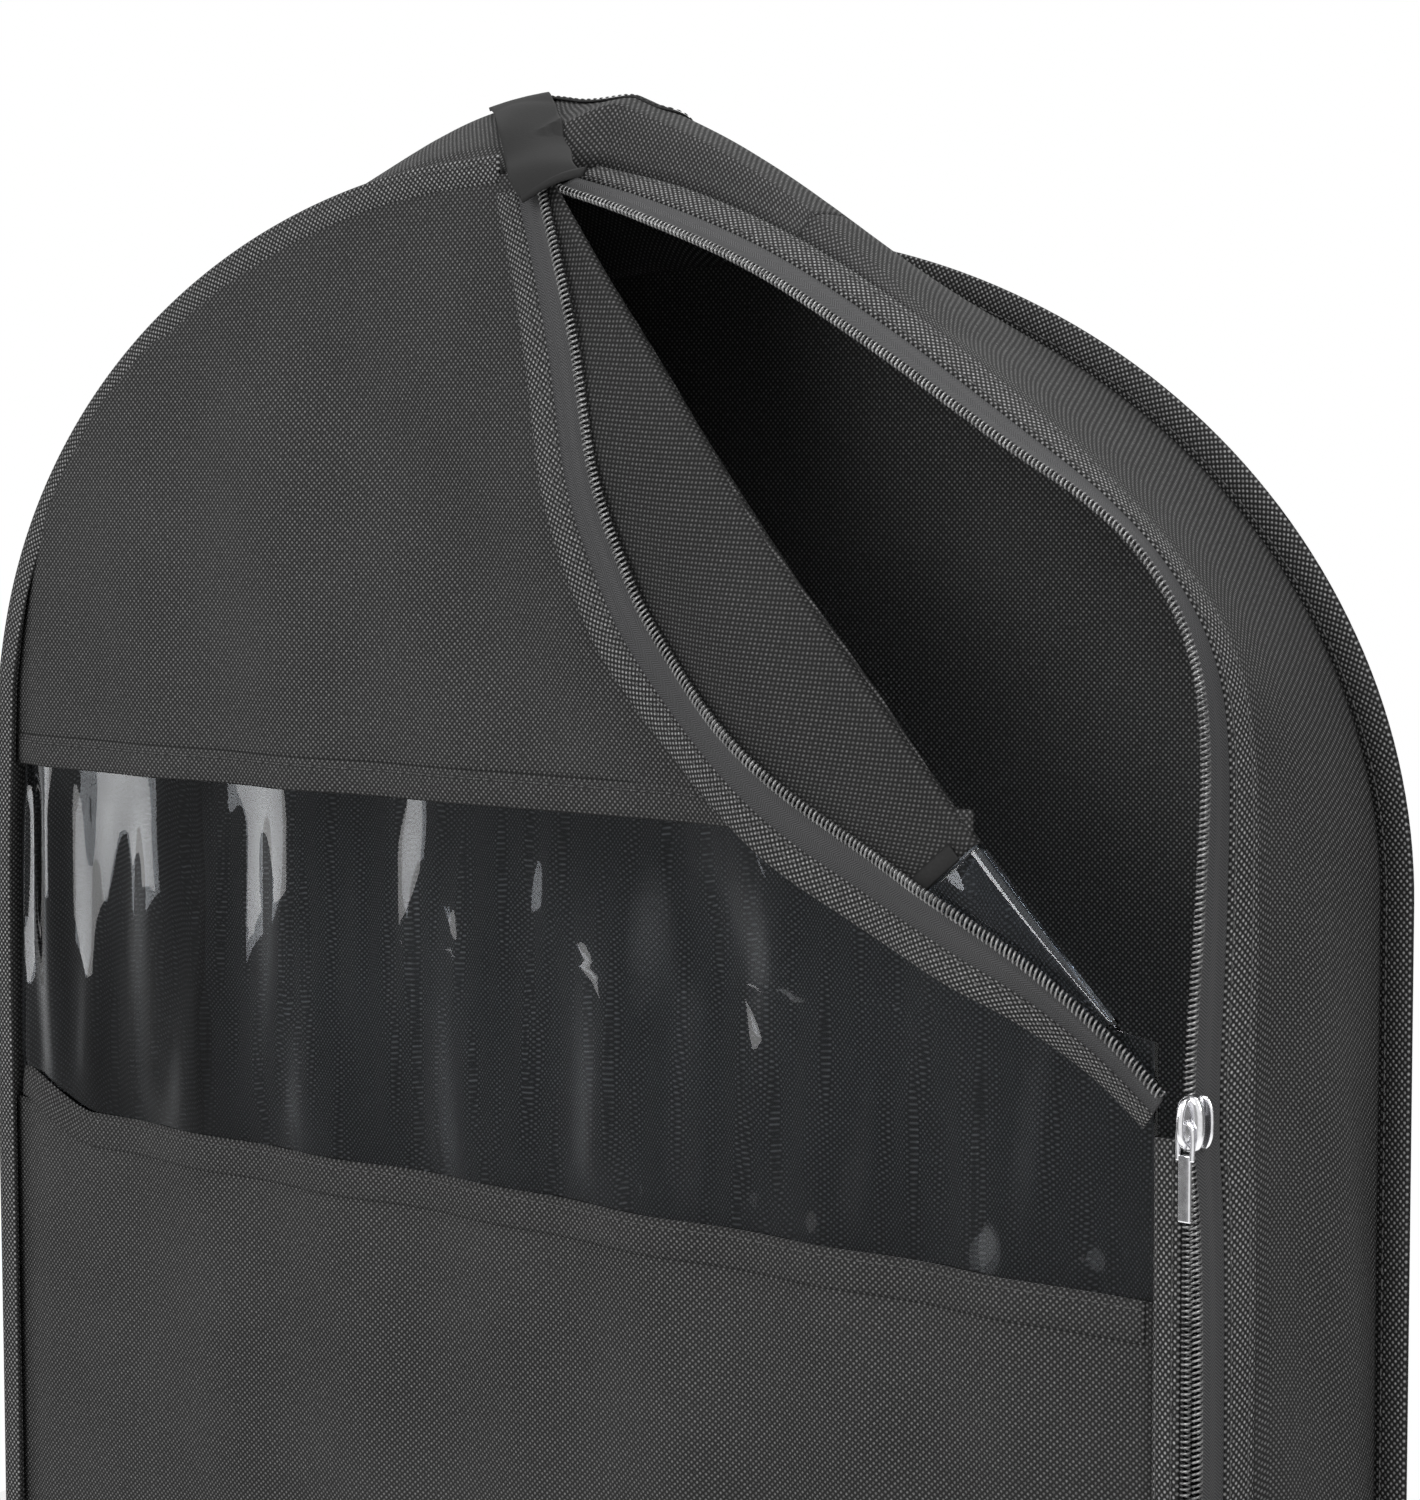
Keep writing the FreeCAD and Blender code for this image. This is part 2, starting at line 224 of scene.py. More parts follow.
def herringbone(name):
    """Woven zip tape: chevron ribs along its length."""
    mat, nodes, links, shader = new_material(name, 0.62)
    uv, u, v = uv_parts(nodes, links)
    zig = math_node(nodes, links, "PINGPONG", v, 0.0024)
    slanted = math_node(nodes, links, "ADD", u, zig)
    ribs = math_node(nodes, links, "PINGPONG", slanted, 0.00055)
    ribs = math_node(nodes, links, "MULTIPLY", ribs, 1 / 0.00055)
    colour = ramp(nodes, links, ribs, [(0.1, grey(0.010)), (0.9, grey(0.042, 0.05))])
    links.new(colour, shader.inputs["Base Color"])
    add_bump(nodes, links, shader, ribs, 0.6, 0.0002)
    shader.inputs["Specular IOR Level"].default_value = 0.25
    return mat


def plain_cloth(name, base):
    """Smooth cloth with a fine, barely visible weave: the folded tab and thread."""
    mat, nodes, links, shader = new_material(name, 0.7)
    uv, u, v = uv_parts(nodes, links)
    fine = nodes.new("ShaderNodeTexNoise")
    fine.inputs["Scale"].default_value = 900.0
    fine.inputs["Detail"].default_value = 4.0
    links.new(uv, fine.inputs["Vector"])
    colour = ramp(nodes, links, fine.outputs["Fac"], [(0.3, grey(base * 0.8)), (0.7, grey(base * 1.3))])
    links.new(colour, shader.inputs["Base Color"])
    add_bump(nodes, links, shader, fine.outputs["Fac"], 0.35, 0.0002)
    shader.inputs["Specular IOR Level"].default_value = 0.2
    return mat


def clear_film(name):
    """Clear, glossy window film with faint rolling lines."""
    mat, nodes, links, shader = new_material(name, 0.05)
    uv, u, v = uv_parts(nodes, links)
    shader.inputs["Base Color"].default_value = (0.86, 0.90, 0.95, 1.0)
    shader.inputs["Transmission Weight"].default_value = 1.0
    shader.inputs["IOR"].default_value = 1.38
    soft = nodes.new("ShaderNodeTexNoise")
    soft.inputs["Scale"].default_value = 22.0
    soft.inputs["Detail"].default_value = 2.0
    stretch = nodes.new("ShaderNodeMapping")
    stretch.inputs["Scale"].default_value = (1.0, 0.25, 1.0)
    links.new(uv, stretch.inputs["Vector"])
    links.new(stretch.outputs["Vector"], soft.inputs["Vector"])
    add_bump(nodes, links, shader, soft.outputs["Fac"], 0.25, 0.004)
    shader.inputs["Roughness"].default_value = 0.0
    return mat


def metal(name, colour, rough):
    """Polished plating with fine scuffs."""
    mat, nodes, links, shader = new_material(name, rough, 1.0)
    place = nodes.new("ShaderNodeTexCoord")
    scuffs = nodes.new("ShaderNodeTexNoise")
    scuffs.inputs["Scale"].default_value = 420.0
    scuffs.inputs["Detail"].default_value = 5.0
    links.new(place.outputs["Object"], scuffs.inputs["Vector"])
    links.new(math_node(nodes, links, "MULTIPLY_ADD", scuffs.outputs["Fac"], 0.14, rough),
              shader.inputs["Roughness"])
    tint = ramp(nodes, links, scuffs.outputs["Fac"],
                [(0.3, tuple(c * 0.85 for c in colour) + (1,)), (0.7, colour + (1,))])
    links.new(tint, shader.inputs["Base Color"])
    add_bump(nodes, links, shader, scuffs.outputs["Fac"], 0.06, 0.0001)
    return mat


def coil_plastic(name):
    mat, nodes, links, shader = new_material(name, 0.22, 0.55)
    place = nodes.new("ShaderNodeTexCoord")
    noise = nodes.new("ShaderNodeTexNoise")
    noise.inputs["Scale"].default_value = 260.0
    links.new(place.outputs["Object"], noise.inputs["Vector"])
    colour = ramp(nodes, links, noise.outputs["Fac"], [(0.3, grey(0.10)), (0.7, grey(0.22))])
    links.new(colour, shader.inputs["Base Color"])
    return mat


def studio_floor():
    mat, nodes, links, shader = new_material("pale_floor", 0.6)
    place = nodes.new("ShaderNodeTexCoord")
    noise = nodes.new("ShaderNodeTexNoise")
    noise.inputs["Scale"].default_value = 3.0
    links.new(place.outputs["Object"], noise.inputs["Vector"])
    links.new(ramp(nodes, links, noise.outputs["Fac"], [(0.3, grey(0.82)), (0.7, grey(0.86))]),
              shader.inputs["Base Color"])
    return mat


FABRIC = nonwoven("dotted_nonwoven", 0.009, 0.19)
# Painted shade: a darker copy of the dotted fabric, with dimmer dots, for the flap's inner face, which lies
# in the fold's shadow.
SHADED_INNER = nonwoven("dotted_nonwoven_inside_painted_shade", 0.007, 0.13)
HEM = nonwoven("dotted_hem", 0.008, 0.32, 1.3)
TAPE = herringbone("zip_tape_herringbone")
TAB = plain_cloth("smooth_tab_cloth", 0.0065)
THREAD = plain_cloth("stitch_thread", 0.045)
FILM = clear_film("window_film_clear")
CHROME = metal("slider_chrome", (0.80, 0.80, 0.82), 0.10)
COIL = coil_plastic("zip_coil_gunmetal")


# ---------------------------------------------------------------- mesh helpers
def mesh_object(name, verts, faces, uvs, material, smooth=True):
    """verts in millimetres; uvs are one (u, v) per vertex, in metres."""
    mesh = bpy.data.meshes.new(name)
    mesh.from_pydata((np.asarray(verts, float) * MM).tolist(), [], faces)
    layer = mesh.uv_layers.new(name="UVMap")
    index = np.empty(len(mesh.loops), int)
    mesh.loops.foreach_get("vertex_index", index)
    layer.data.foreach_set("uv", np.asarray(uvs, float)[index].ravel())
    mesh.polygons.foreach_set("use_smooth", [smooth] * len(mesh.polygons))
    mesh.materials.append(material)
    mesh.validate()
    made = bpy.data.objects.new(name, mesh)
    bpy.context.scene.collection.objects.link(made)
    return made


def grid_faces(rows, cols, keep=None):
    faces = []
    for i in range(rows - 1):
        for j in range(cols - 1):
            if keep is None or keep(i, j):
                a = i * cols + j
                faces.append((a, a + 1, a + cols + 1, a + cols))
    return faces


def cloth(name, points, uvs, material, thick=0.6, keep=None, flip=False):
    """A sheet from a grid of points (rows, cols, 3), given a real thickness."""
    rows, cols = points.shape[:2]
    faces = grid_faces(rows, cols, keep)
    if flip:
        faces = [f[::-1] for f in faces]
    made = mesh_object(name, points.reshape(-1, 3), faces, uvs.reshape(-1, 2) * MM, material)
    solid = made.modifiers.new("thickness", "SOLIDIFY")
    solid.thickness = thick * MM
    solid.offset = 0.0
    return made


def grid_uv(points):
    """UVs from the lengths along both ways of the grid, in millimetres."""
    across = np.linalg.norm(np.diff(points, axis=1), axis=2)
    down = np.linalg.norm(np.diff(points, axis=0), axis=2)
    u = np.concatenate([np.zeros((points.shape[0], 1)), np.cumsum(across, axis=1)], axis=1)
    v = np.concatenate([np.zeros((1, points.shape[1])), np.cumsum(down, axis=0)], axis=0)
    return np.stack([u, v], axis=2)


def between(first, second, cols, lift=None):
    """Rows of points from curve first to curve second; lift(t, row) moves them."""
    t = np.linspace(0, 1, cols)[None, :, None]
    points = first[:, None, :] * (1 - t) + second[:, None, :] * t
    return points if lift is None else points + lift(t[..., 0])


def tangents(path):
    t = np.gradient(path, axis=0)
    return t / np.linalg.norm(t, axis=1)[:, None]


def unit(v):
    return v / np.linalg.norm(v, axis=-1, keepdims=True)


def sweep(name, path, side, up, section, material, closed=True):
    """Section points (side, up), in millimetres, swept along path, with capped ends."""
    n, m = len(path), len(section)
    sec = np.array(section, float)
    verts = (path[:, None] + side[:, None] * sec[None, :, :1] + up[:, None] * sec[None, :, 1:]).reshape(-1, 3)
    faces = []
    for i in range(n - 1):
        for j in range(m):
            k = (j + 1) % m
            faces.append((i * m + j, i * m + k, (i + 1) * m + k, (i + 1) * m + j))
    if closed:
        faces.append(tuple(range(m))[::-1])
        faces.append(tuple((n - 1) * m + j for j in range(m)))
    run = lengths(path)
    uvs = np.stack([np.repeat(run, m), np.tile(sec[:, 0], n)], axis=1) * MM
    return mesh_object(name, verts, faces, uvs, material)


def band_section(low, high, thick, lift=0.0, crown=0.35):
    """Flat band from low to high across, with soft edges and a slight crown."""
    middle = (low + high) / 2
    edge = min(0.8, (high - low) / 5)
    top = lift + thick
    return [(low, lift + thick * 0.4), (low + edge, top), (middle, top + crown), (high - edge, top),
            (high, lift + thick * 0.4), (high - edge, lift), (low + edge, lift)]


def place(made, body, slot, *nodes):
    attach(made, body)
    if nodes:
        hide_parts(*nodes)
    return made


def stitches(name, path, up, material, body, long=2.8, gap=1.5, radius=0.33):
    """A row of separate stitches lying on path."""
    run = lengths(path)
    starts = np.arange(1.0, run[-1] - long, long + gap)
    ring = [(math.cos(a), math.sin(a)) for a in np.linspace(0, 2 * math.pi, 5, endpoint=False)]
    verts, faces = [], []
    for start in starts:
        at = np.linspace(start, start + long, 4)
        line = np.stack([np.interp(at, run, path[:, k]) for k in range(3)], axis=1)
        lift = np.stack([np.interp(at, run, up[:, k]) for k in range(3)], axis=1)
        side = unit(np.cross(tangents(line), lift))
        base = len(verts)
        for k, size in enumerate((0.35, 1.0, 1.0, 0.35)):
            for c, s in ring:
                verts.append(line[k] + side[k] * c * radius * size + lift[k] * (s * radius * size))
        for k in range(3):
            for j in range(5):
                a, b = base + k * 5 + j, base + k * 5 + (j + 1) % 5
                faces.append((a, b, b + 5, a + 5))
        faces.append(tuple(base + j for j in range(5))[::-1])
        faces.append(tuple(base + 15 + j for j in range(5)))
    verts = np.array(verts)
    made = mesh_object(name, verts, faces, verts[:, [0, 2]] * MM, material)
    return place(made, body, "binding")


def coil(name, path, side, up, body, node, pitch=1.9):
    """Zip coil: one wire wound into flattened turns along path."""
    run = lengths(path)
    turns = int(run[-1] / pitch)
    per_turn = 12
    angle = np.arange(turns * per_turn + 1) * 2 * math.pi / per_turn
    at = angle / (2 * math.pi) * pitch

    def on(values):
        return np.stack([np.interp(at, run, values[:, k]) for k in range(3)], axis=1)

    centre, across, lift = on(path), unit(on(side)), unit(on(up))
    bulge = np.sign(np.cos(angle)) * np.abs(np.cos(angle)) ** 0.7
    wire = centre + across * (1.75 * bulge)[:, None] + lift * (1.05 * np.sin(angle))[:, None]
    along = tangents(wire)
    first = unit(np.cross(along, lift + 0.01 * across))
    second = np.cross(along, first)
    ring = [(0.42 * math.cos(a), 0.42 * math.sin(a)) for a in np.linspace(0, 2 * math.pi, 6, endpoint=False)]
    made = sweep(name, wire, first, second, ring, COIL)
    return place(made, body, "zip_coil", node)


# ---------------------------------------------------------------- outlines
def shoulder(x, half, base, rise):
    return base + rise * np.sqrt(np.clip(1 - (x / half) ** 2, 0, 1))


def left_front_edge(count, x_top=-15.0):
    """Front seam from the peak over the left shoulder to the bottom."""
    phi = np.linspace(math.acos(x_top / HALF), math.pi, 60)
    arc = np.stack([HALF * np.cos(phi), SHOULDER + RISE * np.sin(phi)], axis=1)
    side = [(-HALF - 3, -330.0), (-HALF - 1, -560.0), (-HALF, BOTTOM)]
    flat = smooth_curve(np.vstack([arc[::6], arc[-1:], side]), count)
    y = np.full(count, FRONT_Y + 1.0)
    return np.stack([flat[:, 0], y, flat[:, 1]], axis=1)


def back_edge(sign, count, x_top, grow=0.0):
    """Back seam: the shoulders droop lower than at the front."""
    half, rise = HALF + grow, BACK_RISE + grow
    phi = np.linspace(math.acos(x_top / half), 0, 60)
    arc = np.stack([half * np.cos(phi), BACK_SHOULDER + rise * np.sin(phi)], axis=1)
    flat = resample(np.vstack([arc, [(half, BOTTOM - grow)]]), count)
    return np.stack([sign * flat[:, 0], np.full(count, DEEP), flat[:, 1]], axis=1)


GUSSET_COIL = [(21.5, -34), (60, -45), (115, -64.5), (170, -92), (225, -123), (262, -143), (286, -162),
               (303, -188), (309, -220), (307.5, -270), (304, SLIDER_Z), (SLIDER_X + 2.2, -420),
               (SLIDER_X + 2.2, -760), (SLIDER_X + 2.2, ZIP_FOOT)]
GUSSET_HEM = [(20, -26), (70, -37), (118.5, -55), (164, -78), (208, -105), (249, -133.5), (281, -162),
              (302, -190), (310, -221), (312.5, -280), (312.5, -361), (311, -600), (309, ZIP_FOOT)]


def side_curve(points, y, count):
    flat = smooth_curve(points, count)
    return np.stack([flat[:, 0], np.full(count, float(y)), flat[:, 1]], axis=1)


def front_bulge(x, z):
    """How far the front stands out from its flat seam plane, in millimetres (forwards is positive)."""
    inside = np.clip(1 - np.abs(x / HALF), 0, 1)
    rounded = 3.5 * step(inside, 0.0, 0.35) - 4.0 * (1 - step(inside, 0.0, 0.09))
    folds = waves(x, z, (210.0, 128.0, 83.0), 5.2, 0.10) * step(inside, 0.02, 0.3)
    low = step(-z, 40, 160)
    reach = (x - FOLD_START[0]) * ACROSS[0] + (z - FOLD_START[1]) * ACROSS[1]
    valley = 6.0 * np.exp(-(((reach - 128.0) / 26.0) ** 2)) * step(-z, 50, 130) * (1 - step(-z, 250, 400))
    return (rounded * low + folds * low) * step(300.0 - x, 0, 90) - valley


def front_point(x, z, extra=0.0):
    """Point on the front, standing off by extra."""
    return np.stack([x, FRONT_Y - front_bulge(x, z) - extra, z], axis=-1)


def sag(station):
    return 9.0 * np.sin(math.pi * np.clip(station / FOLD_RUN, 0, 1))


def fold_x(z):
    """Where the fold line is at height z."""
    station = np.clip((z - FOLD_START[1]) / ALONG[1], 0, FOLD_RUN)
    return FOLD_START[0] + ALONG[0] * station + ACROSS[0] * sag(station)


# ---------------------------------------------------------------- front
def front_rows(z_values, left, right, cols):
    z = np.repeat(z_values[:, None], cols, axis=1)
    t = np.linspace(0, 1, cols)[None]
    x = left[:, None] * (1 - t) + right[:, None] * t
    points = front_point(x, z)
    return points, np.stack([x, z], axis=2)


def left_x(z):
    phi = np.arcsin(np.clip((z - SHOULDER) / RISE, 0, 1))
    slack = 3 * step(-z, 243, 330) * (1 - step(-z, 400, 900))
    return np.where(z > SHOULDER, -HALF * np.cos(phi), -HALF - slack)


def build_front():
    phi = np.linspace(math.pi / 2 - 0.02, 0, 70)
    z = np.concatenate([SHOULDER + RISE * np.sin(phi), np.linspace(SHOULDER, WINDOW_TOP, 5)[1:]])
    points, uv = front_rows(z, left_x(z), fold_x(z), 110)
    upper = cloth("front_upper_panel_cloth", points, uv, FABRIC)
    place(upper, "bag", "nonwoven", "front_upper_panel")
    window_edge = FOLD_START[0] + 270.0
    z = np.linspace(WINDOW_TOP + 4, WINDOW_FOOT - 4, 64)
    right = np.minimum(fold_x(z), window_edge + 7)
    right = np.where(z < FOLD_END[1] + 22, window_edge + 7, right)
    left = left_x(z) + 6
    points, uv = front_rows(z, left, right, 260)
    ripple = waves(points[..., 0], points[..., 2], (96.0, 58.0, 37.0, 23.0), 1.5, -0.12)
    near_left = 1 - step(points[..., 0] + HALF, 12, 75)
    ripple += near_left * 0.9 * np.sin(points[..., 0] / 4.3 + points[..., 2] / 95.0)
    pinned = step(WINDOW_TOP - points[..., 2], 0, 22) * step(points[..., 2] - WINDOW_FOOT, 0, 22)
    points[..., 1] -= ripple * (0.25 + 0.75 * pinned) - 0.5 * (1 - pinned)
    film = place(cloth("window_film_sheet", points, uv, FILM, 0.3), "bag", "clear_film", "window_film")
    z = np.linspace(WINDOW_FOOT, BOTTOM, 150)
    points, uv = front_rows(z, left_x(z), np.full(len(z), window_edge + 7), 90)
    lower = cloth("front_lower_panel_cloth", points, uv, FABRIC)
    place(lower, "bag", "nonwoven", "front_lower_panel")


def front_band(name, x, z, low, high, node, material=None):
    path = front_point(x, z, 0.4)
    up = np.tile([0.0, -1.0, 0.0], (len(path), 1))
    side = np.cross(up, tangents(path))
    made = sweep(name, path, side, up, band_section(low, high, 0.7), material or HEM)
    place(made, "bag", "binding", node)
    return path, side, up


def build_front_hems():
    x = np.linspace(-HALF + 4, float(fold_x(np.array(WINDOW_TOP))) - 4, 120)
    z = np.full(120, WINDOW_TOP + 6.0)
    path, side, up = front_band("window_top_hem_band", x, z, -6.5, 6.5, "window_top_hem", FABRIC)
    stitches("window_top_stitches", path + side * 3.4 + up * 1.1, up, THREAD, "bag")
    x = np.linspace(-HALF + 4, 288, 140)
    z = WINDOW_FOOT - 7.0 + 15.0 * (1 - step(x + HALF, 0, 60))
    path, side, up = front_band("window_bottom_hem_band", x, z, -7, 7, "window_bottom_hem", FABRIC)
    stitches("window_bottom_stitches", path + side * 4.2 + up * 1.1, up, THREAD, "bag")
    edge = left_front_edge(420, -8.0)
    run = tangents(edge)
    up = np.tile([0.0, -1.0, 0.0], (len(edge), 1))
    inward = np.cross(run, up)
    made = sweep("front_left_hem_band", edge + up * 0.6, inward, up, band_section(-3.0, 7.5, 1.1), HEM)
    place(made, "bag", "binding", "front_left_hem")
    stitches("front_left_stitches", edge + inward * 4.8 + up * 2.0, up, THREAD, "bag")
    x = np.linspace(-HALF + 1, 286, 60)
    front_band("front_bottom_hem_band", x, np.full(60, BOTTOM + 5.0), -5, 5, "front_bottom_hem")


# ---------------------------------------------------------------- gusset, top and back
TENT_X = -30.0
TENT_Y = -5.0


def tent_height(x, y, t):
    """Lift of the gusset towards the hanger slot, where the hangers hold it up."""
    run = np.sqrt((x - TENT_X) ** 2 + 80.0) - 8.9
    steep = np.clip(1 - run / 200.0, 0, 1)
    gentle = 0.5 + 0.5 * np.cos(math.pi * np.clip(run / 265.0, 0, 1))
    spread = np.where(x < TENT_X, gentle, steep)
    away = np.where(y < TENT_Y, (TENT_Y - y) / (DEEP + TENT_Y), (y - TENT_Y) / (DEEP - TENT_Y))
    fall = np.clip(1 - (np.sqrt(away**2 + 0.012) - 0.11), 0, 1)
    return 45.0 * spread * fall * np.clip(3.2 * np.sin(math.pi * t), 0, 1)


def gusset_sheet(name, first, second, cols, sign, node):
    points = between(first, second, cols)
    x, y, z = points[..., 0], points[..., 1], points[..., 2]
    t = np.linspace(0, 1, cols)[None]
    belly = np.sin(math.pi * t)
    down = step(-z, 150, 330)
    side_bulge = belly * (4.0 + 2.2 * np.sin(z / 87.0) + 1.6 * np.sin(z / 39.0 + 4 * t)) * down
    crease = 3.0 * np.sin(2 * math.pi * (t * 1.2 + z / 260.0)) * belly * step(-z, 200, 420)
    points[..., 0] += sign * (side_bulge + crease)
    points[..., 2] += tent_height(x, y, t)
    made = cloth(name, points, grid_uv(points), FABRIC, flip=sign < 0)
    return place(made, "bag", "nonwoven", node)


def top_edges():
    x = np.linspace(-117, 117, 93)
    front_left = shoulder(x, HALF, SHOULDER, RISE)
    hem = smooth_curve(GUSSET_HEM, 300)
    front_right = np.interp(x, hem[:, 0], hem[:, 1])
    across = step(x, -12, 22)
    front_z = front_left * (1 - across) + front_right * across
    front = np.stack([x, FRONT_Y + 1 + 22.0 * across, front_z], axis=1)
    back = np.stack([x, np.full_like(x, DEEP), shoulder(x, HALF, BACK_SHOULDER, BACK_RISE)], axis=1)
    return front, back


def top_surface(x, y):
    """Height of the tented top at (x, y)."""
    front, back = top_edges()
    front_y, front_z = (np.interp(x, front[:, 0], front[:, k]) for k in (1, 2))
    back_z = np.interp(x, back[:, 0], back[:, 2])
    t = np.clip((y - front_y) / (DEEP - front_y), 0, 1)
    return front_z * (1 - t) + back_z * t + tent_height(x, y, t)


def build_gussets():
    count = 300
    seam = left_front_edge(600)
    left_front = resample(seam[seam[:, 0] <= -115], count)
    left = gusset_sheet("left_gusset_cloth", left_front, back_edge(-1, count, 115), 22, -1, "left_gusset")
    hem = side_curve(GUSSET_HEM, -29, 900)
    hem = resample(hem[int(np.argmax(hem[:, 0] >= 115)):], count)
    hem[-1, 2] = BOTTOM
    right = gusset_sheet("right_gusset_cloth", hem, back_edge(1, count, 115), 22, 1, "right_gusset")
    front, back = top_edges()
    t = np.concatenate([np.linspace(0, 0.40, 12), [0.44, 0.50, 0.56], np.linspace(0.60, 1, 12)])
    points = front[:, None] * (1 - t[None, :, None]) + back[:, None] * t[None, :, None]
    x, y = points[..., 0], points[..., 1]
    points[..., 2] += tent_height(x, y, t[None])

    def keep(i, j):
        centre = points[i:i + 2, j:j + 2].reshape(-1, 3).mean(axis=0)
        return not (abs(centre[0]) < 34 and abs(centre[1]) < 6.5)

    top = cloth("top_gusset_cloth", points, grid_uv(points), FABRIC, keep=keep, flip=True)
    place(top, "bag", "nonwoven", "top_gusset")
    x = np.linspace(-HALF, HALF, 60)
    y = np.linspace(-DEEP, DEEP, 12)
    swell = 2.5 * np.sin(x / 60.0)[:, None] * np.sin(math.pi * (y + DEEP) / (2 * DEEP))[None]
    floor = np.stack([np.repeat(x[:, None], 12, 1), np.repeat(y[None], 60, 0),
                      BOTTOM + swell], axis=2)
    bottom = cloth("bottom_gusset_cloth", floor, grid_uv(floor), FABRIC)
    place(bottom, "bag", "nonwoven", "bottom_gusset")


def build_back():
    phi = np.linspace(math.pi / 2 - 0.03, 0, 60)
    half, rise = HALF + FLANGE, BACK_RISE + FLANGE
    down = np.linspace(BACK_SHOULDER, BOTTOM - FLANGE, 130)[1:]
    z = np.concatenate([BACK_SHOULDER + rise * np.sin(phi), down])
    reach = np.concatenate([half * np.cos(phi), np.full(129, half)])
    t = np.linspace(-1, 1, 100)[None]
    x = reach[:, None] * t
    zz = np.repeat(z[:, None], 100, axis=1)
    inside = 1 - np.abs(t)
    y = DEEP + 1.0 + waves(x, zz, (240.0, 150.0, 90.0), 2.2, 0.08) * step(inside, 0.05, 0.3)
    points = np.stack([x, y, zz], axis=2)
    back = place(cloth("back_panel_cloth", points, np.stack([x, zz], axis=2), FABRIC, flip=True),
                 "bag", "nonwoven", "back_panel")
    right = back_edge(1, 420, 0.5, FLANGE)
    left = back_edge(-1, 420, 0.5, FLANGE)
    bottom = np.stack([np.linspace(half, -half, 80), np.full(80, DEEP), np.full(80, BOTTOM - FLANGE)], axis=1)
    ring = resample(np.vstack([right, bottom[1:-1], left[::-1]]), 1100)
    up = np.tile([0.0, -1.0, 0.0], (len(ring), 1))
    inward = unit(np.cross(up, tangents(ring))) * -1.0
    made = sweep("back_flange_binding", ring, inward, up, band_section(-0.5, FLANGE, 0.9, 0.2), HEM)
    place(made, "bag", "binding", "back_binding")
    stitches("back_flange_stitches", ring + inward * 9.0 + up * 1.6, up, THREAD, "bag")


def on_top(x, y, clear):
    """A point standing clear of the tented top at (x, y)."""
    return (x, y, float(top_surface(x, y)) + clear)


def build_slot_and_tab():
    corners = []
    half_x, half_y, turn = 36.0, 8.0, 5.0
    for sx, sy, start in ((1, 1, 0), (-1, 1, 90), (-1, -1, 180), (1, -1, 270)):
        for a in np.radians(np.linspace(start, start + 90, 7)):
            corner_x = sx * (half_x - turn) + turn * math.cos(a)
            corner_y = sy * (half_y - turn) + turn * math.sin(a)
            corners.append((corner_x, corner_y))
    ring = np.array(corners + corners[:1])
    ring = resample(ring, 120)
    path = np.stack([ring[:, 0], ring[:, 1], top_surface(ring[:, 0], ring[:, 1])], axis=1)
    up = np.tile([0.0, 0.0, 1.0], (len(path), 1))
    side = unit(np.cross(tangents(path), up))
    made = sweep("hanger_slot_rim", path, side, up, band_section(-1.2, 3.4, 0.9, -0.2), TAB)
    place(made, "bag", "binding", "hanger_slot_binding")
    stitches("hanger_slot_stitches", path + side * 2.4 + up * 1.1, up, THREAD, "bag", 2.0, 1.2, 0.25)
    left = smooth_curve([on_top(-60, -8, 2), on_top(-42, -22, 2.5), on_top(-24, -37, 4), (-9, -48, -22),
                         (2, -57, -28.5), (9, -61, -34), (15, -62.5, -38.6)], 46)
    right = smooth_curve([on_top(-36, -2, 2), on_top(-14, -18, 2.5), (8, -35, -15.4), (24, -47, -21.5),
                          (34, -56, -26), (44, -61, -30.5)], 46)
    t = np.linspace(0, 1, 26)[:, None, None]
    points = left[None] * (1 - t) + right[None] * t
    points[..., 2] += 1.6 * np.sin(math.pi * t[..., 0])
    over = step(points[..., 1], -54, -49)
    clear = top_surface(points[..., 0], points[..., 1]) + 2.2
    points[..., 2] += over * np.clip(clear - points[..., 2], 0, None)
    tab = cloth("zip_top_tab_cloth", points, grid_uv(points), TAB, 1.4)
    place(tab, "bag", "binding", "zip_top_tab")
    end = points[:, -1]
    along = tangents(end)
    out = unit(np.cross(along, np.tile([0.0, 0.6, 0.8], (len(end), 1))))
    out *= np.where(out[:, 1:2] < 0, 1.0, -1.0)
    across = np.cross(out, along)
    made = sweep("zip_top_tab_fold", end, across, out, band_section(-1.2, 3.2, 1.8, -0.9), TAB)
    place(made, "bag", "binding")


# ---------------------------------------------------------------- zip on the gusset side
def build_gusset_zip():
    inner = side_curve(GUSSET_COIL, FRONT_Y + 0.5, 1300)
    outer = side_curve(GUSSET_HEM, -29, 1300)
    outer[-1, 2] = inner[-1, 2]
    across = unit(outer - inner)
    normal = unit(np.cross(tangents(inner), across))
    normal *= np.where(normal[:, :1] - normal[:, 1:2] * 0.5 + normal[:, 2:] > 0, 1.0, -1.0)
    width = np.linalg.norm(outer - inner, axis=1)
    cut = resample(np.arange(1300)[:, None].astype(float), 520)[:, 0].astype(int)
    path, side, up = inner[cut], across[cut], normal[cut]
    made = sweep("gusset_zip_tape_band", path, side, up, band_section(1.2, 13.0, 0.5, 0.0, 0.1), TAPE)
    place(made, "bag", "zip_tape", "gusset_zip_tape")
    wide = float(np.median(width))
    made = sweep("gusset_zip_hem_band", path, side, up, band_section(11.0, wide + 1.5, 1.0, 0.2), HEM)
    place(made, "bag", "binding", "gusset_zip_hem")
    stitches("gusset_hem_stitches", path + side * 13.0 + up * 1.5, up, THREAD, "bag")
    stitches("gusset_edge_stitches", path + side * (wide - 2.0) + up * 1.5, up, THREAD, "bag")
    coil("gusset_zip_coil_wire", inner, across, normal, "bag", "gusset_zip_coil")


